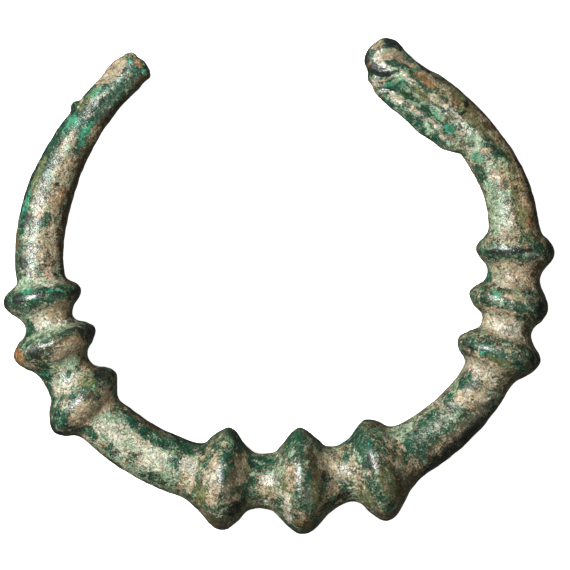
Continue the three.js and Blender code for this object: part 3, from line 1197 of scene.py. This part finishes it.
    def _roughen(self) -> None:
        """Pushes the casting's unevenness into the mesh, grade by grade."""
        crust = smooth_step(*self.crusts, self.coats[TAN] + self.coats[MINT] + self.coats[CREAM])
        grainy = self.bare_grain + (1 - self.bare_grain) * crust
        smooth = vertex_places(self.piece)
        normals = vertex_normals(self.piece)
        take_up(self.piece)
        for relief in self.reliefs:
            texture = bpy.data.textures.new(relief.name, "CLOUDS")
            texture.noise_scale = relief.grain * MM
            texture.noise_depth = relief.octaves
            push = self.piece.modifiers.new(relief.name, "DISPLACE")
            push.texture = texture
            push.texture_coords = "LOCAL"
            push.strength = relief.height * MM
            self._apply(push, grainy if relief.crusted else None)
        rise = ((vertex_places(self.piece) - smooth) * normals).sum(axis=1)
        self.exposure = np.clip(MIDDLE + rise / (2 * self.full_exposure * MM), 0.0, 1.0)

    def _keep_off_the_table(self) -> None:
        """Lifts whatever the relief pushed below the table back onto it."""
        places = vertex_places(self.piece)
        places[:, 2] = np.maximum(places[:, 2], 0.0)
        put_vertices(self.piece, places)

    def _store_the_patina(self) -> None:
        """Writes the coats, the exposure and the polish into the mesh, for its material."""
        amounts = {coat.value: amount for coat, amount in self.coats.items()}
        amounts.update({EXPOSURE: self.exposure, POLISH: self.polish})
        for name, amount in amounts.items():
            store = self.piece.data.attributes.new(name, "FLOAT", "POINT")
            store.data.foreach_set("value", amount.astype(np.float32))


# ---- The patina's material ----


class NodeBoard:
    """A material's nodes, added and joined by short calls.

    Attributes:
        COLOURS_IN: Which sockets of a Mix node take its two colours.
        COLOUR_OUT: Which one gives the colour.
        NUMBERS_IN: Which ones take its two numbers.
        material: The material.
        tree: Its node tree.
    """

    COLOURS_IN = (6, 7)
    COLOUR_OUT = 2
    NUMBERS_IN = (2, 3)

    def __init__(self, name: str) -> None:
        """Starts an empty material.

        Args:
            name: The material's name.
        """
        self.material = bpy.data.materials.new(name)
        self.material.use_nodes = True
        self.tree = self.material.node_tree
        self.tree.nodes.clear()

    def add(self, kind: str, **settings: object) -> bpy.types.Node:
        """Adds a node.

        Args:
            kind: The node's type name, without its leading ShaderNode.
            **settings: Its properties.

        Returns:
            The node.
        """
        node = self.tree.nodes.new("ShaderNode" + kind)
        for key, value in settings.items():
            setattr(node, key, value)
        return node

    def join(self, socket: Socket, source: Source) -> None:
        """Joins a socket to another one, or sets it to a plain value.

        Args:
            socket: The socket that takes it.
            source: The other socket, or the value.
        """
        if isinstance(source, Socket):
            self.tree.links.new(source, socket)
        else:
            socket.default_value = source

    def feed(self, node: bpy.types.Node, **sources: Source) -> None:
        """Joins several of a node's sockets to others, or sets them to plain values.

        Args:
            node: The node.
            **sources: What each socket takes, with _ for each space in the socket's name.
        """
        for name, source in sources.items():
            self.join(node.inputs[name.replace("_", " ")], source)

    def finish(self, surface: bpy.types.Node) -> bpy.types.Material:
        """Shows a shader on the surface.

        Args:
            surface: The shader's node.

        Returns:
            The finished material.
        """
        self.feed(self.add("OutputMaterial"), Surface=surface.outputs["BSDF"])
        return self.material

    def stored(self, name: str) -> Socket:
        """Returns the socket with a number that the mesh stores for each vertex."""
        return self.add("Attribute", attribute_name=name).outputs["Fac"]

    def worked_out(self, operation: str, first: Source, second: Source = 0.0) -> Socket:
        """Works out a number from one or two others.

        Args:
            operation: What to do with them, such as ADD or MULTIPLY.
            first: The first number.
            second: The second number, where the operation takes one.

        Returns:
            The result's socket.
        """
        node = self.add("Math", operation=operation)
        self.join(node.inputs[0], first)
        self.join(node.inputs[1], second)
        return node.outputs[0]

    def times(self, first: Source, second: Source) -> Socket:
        """Returns the socket with the product of two numbers."""
        return self.worked_out("MULTIPLY", first, second)

    def eased(self, amount: Source, span: Pair) -> Socket:
        """Eases a number from 0 to 1.

        Args:
            amount: The number.
            span: Where the rise starts and where it ends.

        Returns:
            The result's socket.
        """
        node = self.add("MapRange", interpolation_type="SMOOTHSTEP")
        self.feed(node, Value=amount, From_Min=span[0], From_Max=span[1])
        return node.outputs["Result"]

    def blended(self, share: Source, under: Source, over: Source, way: str = "MIX") -> Socket:
        """Blends two colours.

        Args:
            share: How much of the upper colour shows.
            under: The lower colour.
            over: The upper colour.
            way: How the upper colour lies on the lower one.

        Returns:
            The result's socket.
        """
        node = self.add("Mix", data_type="RGBA", blend_type=way)
        self.join(node.inputs[0], share)
        for index, colour in zip(self.COLOURS_IN, (under, over)):
            self.join(node.inputs[index], colour)
        return node.outputs[self.COLOUR_OUT]

    def between(self, share: Source, under: Source, over: Source) -> Socket:
        """Blends two numbers.

        Args:
            share: How much of the upper number counts.
            under: The lower number.
            over: The upper number.

        Returns:
            The result's socket.
        """
        node = self.add("Mix", data_type="FLOAT")
        self.join(node.inputs[0], share)
        for index, number in zip(self.NUMBERS_IN, (under, over)):
            self.join(node.inputs[index], number)
        return node.outputs[0]

    def scaled(self, colour: Socket, factor: Source) -> Socket:
        """Makes a colour lighter or darker.

        Args:
            colour: The colour's socket.
            factor: What it is multiplied by.

        Returns:
            The result's socket.
        """
        node = self.add("VectorMath", operation="SCALE")
        self.join(node.inputs[0], colour)
        self.feed(node, Scale=factor)
        return node.outputs[0]


@dataclass(frozen=True)
class Grain:
    """One grade of the fine relief that the bump and a painted shade and light share.

    Attributes:
        size: The size of its grains, in millimetres.
        rise: How high they stand, in millimetres.
        shade: How much darker its lowest places are painted, and how much paler its highest, from 0
            to 1: painted shade and light.
        shift: How far its pattern is moved.
    """

    size: float
    rise: float
    shade: float
    shift: float


@dataclass(frozen=True)
class Tint:
    """A colour that lies over all coats, in drifts or in grains.

    Attributes:
        colour: The colour.
        size: The size of its drifts or grains, in millimetres.
        strength: How strong it is where it is full.
        shift: How far its pattern is moved.
        span: Where in its pattern it starts to show and where it is full.
    """

    colour: str
    size: float
    strength: float
    shift: float
    span: Pair = (0.45, 0.95)


@dataclass(frozen=True)
class Furrow:
    """Winding furrows that corrosion etched, which come in patches.

    Attributes:
        size: The size of their meanders, in millimetres.
        line: How far from a meander's middle line they start and where they are deepest.
        patch: The size of their patches, in millimetres.
        span: Where in the patches' pattern they start and where they are deepest.
        depth: How deep they are, in millimetres.
        colour: The colour in them.
        strength: How strongly it shows.
        shifts: How far the patterns of the meanders and of the patches are moved.
        octaves: How many finer grades those two patterns carry.
    """

    size: float
    line: Pair = (0.085, 0.015)
    patch: float = 3.6
    span: Pair = (0.35, 0.62)
    depth: float = 0.08
    colour: str = "14211a"
    strength: float = 0.62
    shifts: Pair = (80.0, 90.0)
    octaves: Pair = (1.0, 2.0)


@dataclass(frozen=True)
class PatinaMaterial:
    """The layered patina of old cast bronze, with shade and light painted into its relief.

    Attributes:
        name: The material's name.
        bare: The darker and the paler colour of the bare bronze under all coats.
        bare_mottle: The size of its light and dark spots, in millimetres.
        bare_roughness: How matt it is.
        washes: The clear tints over all coats.
        pepper: The finest dark grains.
        pale_grains_and_glints: The finest pale grains, partly painted glints.
        furrows: The etched furrows.
        grains: The grades of fine relief, with their painted shade and light.
        blotch_octaves: How many finer grades the patches' own outline carries.
        fray_grain: The size of the grains that fray every patch, in millimetres.
        fray_shift: How far their pattern is moved from the patches' own.
        fray_share: How much those grains count against the patch's own outline.
        tone_shift: How far the pattern of a coat's tone is moved from its patches' own.
        drift_size: The size of the slow changes of tone within a coat, in millimetres.
        drift_shift: How far their pattern is moved from the coat's own mottling.
        drift_share: How much those changes count against the coat's own mottling.
        plain_octaves: How many finer grades the fraying grains and the drifts carry.
        painted_relief_shade_and_light: Painted shade and light: how dark the colour is painted in the
            relief's deepest places, and how pale on its proudest ones.
        gloss: How strongly the waxed surface shines where it is hollow, and where it stands proud.
        dull_share: How much of that shine is left where nothing polished it.
        crust_shine: How brightly the coats themselves shine, under the wax.
        gloss_roughness: How blurred the wax's shine is.
        gloss_index: How strongly the wax bends the light, which sets how bright the shine is.
        gloss_evenness: How much of the fine relief shows in the shine.
    """

    name: str = "corroded bronze patina"
    bare: tuple[str, str] = ("12110b", "45402a")
    bare_mottle: float = 1.4
    bare_roughness: float = 0.38
    washes: tuple[Tint, ...] = (
        Tint("74c896", 5.0, 0.36, 61.0),
        Tint("ecc896", 4.0, 0.36, 67.0),
        Tint("9c9c94", 2.6, 0.35, 71.0),
    )
    pepper: Tint = Tint("16231a", 0.6, 0.58, 41.0, (0.36, 0.10))
    pale_grains_and_glints: Tint = Tint("cdccb2", 0.45, 0.40, 53.0, (0.68, 0.95))
    furrows: tuple[Furrow, ...] = (Furrow(1.1), Furrow(2.3))
    grains: tuple[Grain, ...] = (
        Grain(0.45, 0.06, 0.40, 31.0),
        Grain(0.95, 0.15, 0.48, 37.0),
    )
    blotch_octaves: float = 4.0
    fray_grain: float = 0.6
    fray_shift: float = 7.0
    fray_share: float = 0.40
    tone_shift: float = 10.0
    drift_size: float = 3.2
    drift_shift: float = 3.0
    drift_share: float = 0.40
    plain_octaves: float = 2.0
    painted_relief_shade_and_light: Pair = (0.65, 1.26)
    gloss: Pair = (0.48, 0.90)
    dull_share: float = 0.15
    crust_shine: float = 0.15
    gloss_roughness: float = 0.28
    gloss_index: float = 1.75
    gloss_evenness: float = 0.36

    def build(self) -> bpy.types.Material:
        """Builds the material, from the bare bronze up.

        Returns:
            The material.
        """
        board = PatinaBoard(self)
        for number, finish in enumerate(FINISHES, start=1):
            board.lay(finish, float(number))
        for wash in self.washes:
            board.tint(wash, way="MULTIPLY")
        board.tint(self.pepper)
        # Pale grains on the gritty crusts, partly painted glints.
        board.tint(self.pale_grains_and_glints, board.grit)
        for furrow in self.furrows:
            board.etch(furrow)
        for grain in self.grains:
            board.roughen(grain)
        return board.shade()


class PatinaBoard(NodeBoard):
    """The nodes of the patina, as far as it is laid.

    Attributes:
        NOISE_ROUGHNESS: How much the finer grades of a cloud count.
        NOISE_SPAN: Which part of the noise's range a cloud stretches.
        SIDESTEP: Which way a cloud's shift goes.
        look: What the patina looks like.
        place: The socket with the place on the piece.
        colour: The colour so far.
        roughness: The roughness so far.
        grit: How much of the fine relief shows, so far.
        height: The fine relief's height so far, in metres.
    """

    NOISE_ROUGHNESS = 0.62
    NOISE_SPAN = (0.28, 0.72)
    SIDESTEP = (1.0, 0.37, -0.61)

    def __init__(self, look: PatinaMaterial) -> None:
        """Starts with the bare bronze.

        Args:
            look: What the patina looks like.
        """
        super().__init__(look.name)
        self.look = look
        self.place = self.add("TexCoord").outputs["Object"]
        mottle = self.cloud(look.bare_mottle, 0.0, look.blotch_octaves)
        self.colour = self.blended(mottle, *map(linear, look.bare))
        self.roughness: Source = look.bare_roughness
        self.grit: Source = 1.0
        self.height: Source = 0.0

    def cloud(self, size: float, shift: float, octaves: float = 3.0) -> Socket:
        """Makes a cloudy pattern, stretched to fill the range from 0 to 1.

        Args:
            size: The size of its blotches, in millimetres.
            shift: How far the pattern is moved, so that no two are alike.
            octaves: How many finer grades it carries.

        Returns:
            The pattern's socket.
        """
        moved = self.add("Mapping")
        location = tuple(shift * step for step in self.SIDESTEP)
        self.feed(moved, Vector=self.place, Location=location)
        noise = self.add("TexNoise", noise_dimensions="3D")
        self.feed(noise, Vector=moved.outputs["Vector"], Scale=1 / (size * MM))
        self.feed(noise, Detail=octaves, Roughness=self.NOISE_ROUGHNESS)
        spread = self.add("MapRange")
        low, high = self.NOISE_SPAN
        self.feed(spread, Value=noise.outputs["Fac"], From_Min=low, From_Max=high)
        return spread.outputs["Result"]

    def lift(self, share: Socket, rise: Source) -> None:
        """Adds to the fine relief.

        Args:
            share: How much of the rise counts.
            rise: The rise, in metres.
        """
        self.height = self.worked_out("ADD", self.height, self.times(share, rise))

    def lay(self, finish: CoatFinish, shift: float) -> None:
        """Lays one coat over those before it.

        Args:
            finish: The coat's finish.
            shift: How far its patterns are moved.
        """
        share = self.share(finish, shift)
        tone = self.tone(finish, shift + self.look.tone_shift)
        self.colour = self.blended(share, self.colour, tone)
        self.roughness = self.between(share, self.roughness, finish.roughness)
        self.grit = self.between(share, self.grit, finish.grit)
        self.lift(share, finish.lift * MM)

    def share(self, finish: CoatFinish, shift: float) -> Socket:
        """Works out where a coat lies: where it tends to, with frayed rims.

        Args:
            finish: The coat's finish.
            shift: How far its pattern is moved.

        Returns:
            The socket with its share, from 0 to 1.
        """
        look = self.look
        coarse = self.cloud(finish.blotch, shift, look.blotch_octaves)
        fine = self.cloud(look.fray_grain, shift + look.fray_shift, look.plain_octaves)
        cloud = self.between(look.fray_share, coarse, fine)
        stray = self.times(self.worked_out("SUBTRACT", cloud, MIDDLE), finish.fray)
        lies = self.worked_out("ADD", self.stored(finish.coat.value), stray)
        rim = (MIDDLE - finish.edge, MIDDLE + finish.edge)
        return self.times(self.eased(lies, rim), finish.hiding)

    def tone(self, finish: CoatFinish, shift: float) -> Socket:
        """Works out a coat's mottled colour.

        Args:
            finish: The coat's finish.
            shift: How far its pattern is moved.

        Returns:
            The socket with its colour.
        """
        look = self.look
        grains = self.cloud(finish.mottle, shift)
        drifts = self.cloud(look.drift_size, shift + look.drift_shift, look.plain_octaves)
        mottle = self.between(look.drift_share, grains, drifts)
        return self.blended(mottle, linear(finish.deep), linear(finish.pale))

    def tint(self, tint: Tint, share: Source = 1.0, way: str = "MIX") -> None:
        """Lays a tint over the colour so far.

        Args:
            tint: The tint.
            share: How much of it counts.
            way: How it lies on the colour.
        """
        pattern = self.eased(self.cloud(tint.size, tint.shift), tint.span)
        strength = self.times(self.times(pattern, share), tint.strength)
        self.colour = self.blended(strength, self.colour, linear(tint.colour), way)

    def etch(self, furrow: Furrow) -> None:
        """Etches furrows into the surface and darkens them.

        Args:
            furrow: The furrows.
        """
        line_shift, patch_shift = (shift + furrow.size for shift in furrow.shifts)
        line_octaves, patch_octaves = furrow.octaves
        meanders = self.cloud(furrow.size, line_shift, line_octaves)
        aside = self.worked_out("ABSOLUTE", self.worked_out("SUBTRACT", meanders, MIDDLE))
        patches = self.cloud(furrow.patch, patch_shift, patch_octaves)
        deep = self.times(self.eased(aside, furrow.line), self.eased(patches, furrow.span))
        shown = self.times(deep, furrow.strength)
        self.colour = self.blended(shown, self.colour, linear(furrow.colour))
        self.lift(deep, -furrow.depth * MM)

    def roughen(self, grain: Grain) -> None:
        """Adds one grade of fine relief, and the painted shade and light that go with it.

        Args:
            grain: The grade.
        """
        cloud = self.cloud(grain.size, grain.shift)
        self.lift(cloud, self.times(self.grit, grain.rise * MM))
        # Painted shade and light: darker where the grains are low, paler where they are high.
        tone = self.between(cloud, 1 - grain.shade, 1 + grain.shade)
        self.colour = self.scaled(self.colour, tone)

    def shade(self) -> bpy.types.Material:
        """Joins colour, roughness, relief and gloss to the surface, with shade painted into the
        relief's hollows and light onto its lumps.

        Returns:
            The finished material.
        """
        look = self.look
        exposure = self.stored(EXPOSURE)
        # Painted shade and light: the colour is darkened where the mesh relief is hollow and paled
        # where it stands proud.
        colour = self.scaled(self.colour, self.between(exposure, *look.painted_relief_shade_and_light))
        polish = self.between(self.stored(POLISH), look.dull_share, 1.0)
        gloss = self.times(self.between(exposure, *look.gloss), polish)
        surface = self.add("BsdfPrincipled")
        self.feed(surface, Base_Color=colour, Roughness=self.roughness, Metallic=0.0)
        self.feed(surface, Specular_IOR_Level=look.crust_shine, Normal=self.bump(1.0))
        self.feed(surface, Coat_Weight=gloss, Coat_Roughness=look.gloss_roughness)
        self.feed(surface, Coat_IOR=look.gloss_index, Coat_Normal=self.bump(look.gloss_evenness))
        return self.finish(surface)

    def bump(self, strength: float) -> Socket:
        """Turns the fine relief's height into a normal.

        Args:
            strength: How strongly it shows.

        Returns:
            The socket with the normal.
        """
        bump = self.add("Bump")
        self.feed(bump, Strength=strength, Distance=1.0, Height=self.height)
        return bump.outputs["Normal"]


# ---- The studio ----


@dataclass(frozen=True)
class Lamp:
    """A soft lamp with a square face.

    Attributes:
        name: What it is for.
        aim: Which way it lies from the ring, as a direction.
        distance: How far it is from the ring, in metres.
        side: How wide its face is, in metres.
        power: Its power, in watts.
        colour: Its colour.
    """

    name: str
    aim: tuple[float, float, float]
    distance: float
    side: float
    power: float
    colour: str

    def hang(self, middle: Vector) -> None:
        """Hangs the lamp, turned to the middle of the ring.

        Args:
            middle: The middle of the ring.
        """
        bpy.ops.object.light_add(type="AREA")
        lamp = bpy.context.active_object
        lamp.name = self.name
        lamp.data.shape = "SQUARE"
        lamp.data.size = self.side
        lamp.data.energy = self.power
        lamp.data.color = linear(self.colour)[:3]
        lamp.location = middle + Vector(self.aim).normalized() * self.distance
        lamp.rotation_mode = "QUATERNION"
        lamp.rotation_quaternion = Vector(self.aim).to_track_quat("Z", "Y")


@dataclass
class Studio:
    """A pale floor, soft lamps and a camera straight above the ring.

    Attributes:
        floor_side: How wide the floor is, in metres.
        floor_colour: The floor's colour.
        floor_roughness: How matt the floor is.
        floor_glow: How much light the floor gives of its own, to keep its shadows faint.
        sky_strength: How bright the dim room around is.
        camera_height: How far the camera is above the floor, in metres.
        camera_offset: Where the camera stands from the frame's origin, in metres.
        field: How wide a field the camera takes in at the height of the bar, in metres.
        bar_height: How high the middle of the bar lies, in metres.
        sensor: How wide the camera's sensor is, in millimetres.
        clip: The nearest and the farthest that the camera sees, in metres.
        lamps: The lamps.
    """

    floor_side: float = 8.0
    floor_colour: str = "f4f4f2"
    floor_roughness: float = 0.9
    floor_glow: float = 1.06
    sky_strength: float = 0.07
    camera_height: float = 1.2
    camera_offset: Pair = (0.0017, 0.0002)
    field: float = 0.1596
    bar_height: float = 0.0095
    sensor: float = 36.0
    clip: Pair = (0.05, 20.0)
    lamps: tuple[Lamp, ...] = (
        Lamp("key lamp", (-0.72, 0.36, 1.0), 1.3, 0.38, 34.0, "fffefe"),
        Lamp("left lamp", (-1.0, 0.35, 0.30), 1.1, 0.50, 1.2, "f8faff"),
        Lamp("right fill", (0.9, -0.5, 0.8), 1.5, 0.9, 5.4, "fff6ea"),
    )

    def build(self) -> None:
        """Lays the floor, hangs the lamps, dims the room and sets up the camera."""
        lowest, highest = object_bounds()
        middle = (lowest + highest) / 2
        self._lay_floor()
        for lamp in self.lamps:
            lamp.hang(middle)
        self._dim_the_room()
        self._set_camera()
        bpy.context.scene.view_settings.view_transform = "Standard"

    def _lay_floor(self) -> None:
        """Lays the pale floor that the ring rests on."""
        bpy.ops.object.select_all(action="DESELECT")
        bpy.ops.mesh.primitive_plane_add(size=self.floor_side)
        floor = bpy.context.active_object
        floor.name = "studio_floor"
        colour = linear(self.floor_colour)
        board = NodeBoard("studio floor")
        paint = board.add("BsdfPrincipled")
        board.feed(paint, Base_Color=colour, Roughness=self.floor_roughness)
        board.feed(paint, Emission_Color=colour, Emission_Strength=self.floor_glow)
        floor.data.materials.append(board.finish(paint))
        floor.visible_diffuse = False
        floor.visible_glossy = False
        floor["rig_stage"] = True

    def _dim_the_room(self) -> None:
        """Fills the room with a dim, even light."""
        world = bpy.data.worlds.new("dim room")
        world.use_nodes = True
        sky = world.node_tree.nodes["Background"]
        sky.inputs["Color"].default_value = linear("ffffff")
        sky.inputs["Strength"].default_value = self.sky_strength
        bpy.context.scene.world = world

    def _set_camera(self) -> None:
        """Sets the camera above the ring, looking straight down."""
        place = (*self.camera_offset, self.camera_height)
        bpy.ops.object.camera_add(location=place, rotation=(0, 0, 0))
        camera = bpy.context.active_object
        camera.name = "camera above"
        camera.data.sensor_width = self.sensor
        camera.data.lens = self.sensor * (self.camera_height - self.bar_height) / self.field
        camera.data.clip_start, camera.data.clip_end = self.clip
        bpy.context.scene.camera = camera


def main() -> None:
    """Builds the casting and the studio."""
    logging.basicConfig(level=logging.INFO, format="%(name)s: %(message)s")
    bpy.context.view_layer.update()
    piece = Casting().build()
    LOG.info("%s: %d faces, one cast piece", piece.name, len(piece.data.polygons))
    Studio().build()
    LOG.info("studio: floor, lamps and camera are in place")
    bpy.context.view_layer.update()


if __name__ == "__main__":
    main()
